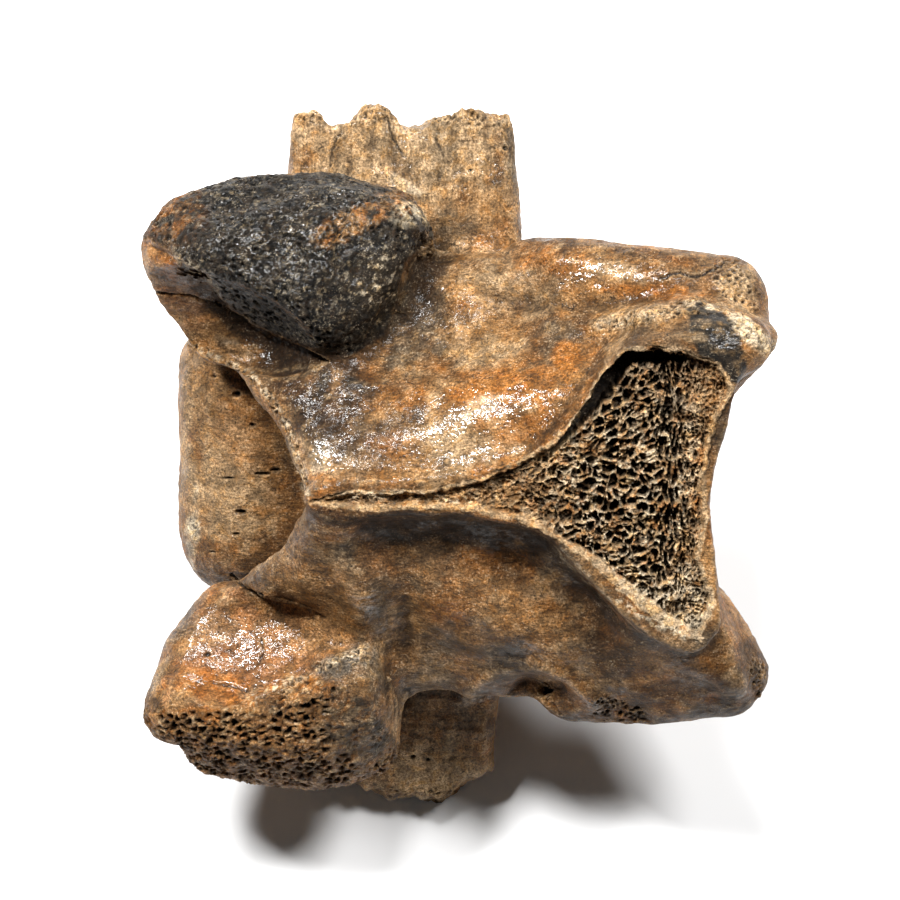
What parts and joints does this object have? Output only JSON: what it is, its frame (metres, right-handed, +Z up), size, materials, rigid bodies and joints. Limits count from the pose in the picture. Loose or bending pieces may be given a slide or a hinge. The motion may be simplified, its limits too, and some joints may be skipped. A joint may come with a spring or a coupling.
{
  "type": "fossil bison neck vertebra",
  "caption": "Life-size still model of a weathered fossil bison neck vertebra with broken processes, lying rolled onto its left side.",
  "frame": {"origin": "centre of the bounding box in plan, on the plane that the bone rests on", "axes": "+X towards the animal's tail along the vertebral canal, +Y across the bone towards its right side, +Z up from the floor"},
  "size_m": [0.1242, 0.1372, 0.0972],
  "materials": {
    "fossil_bone": "weathered, thinly varnished"
  },
  "bodies": {
    "root": {"vertebra": "fossil_bone"}
  },
  "joints": []
}
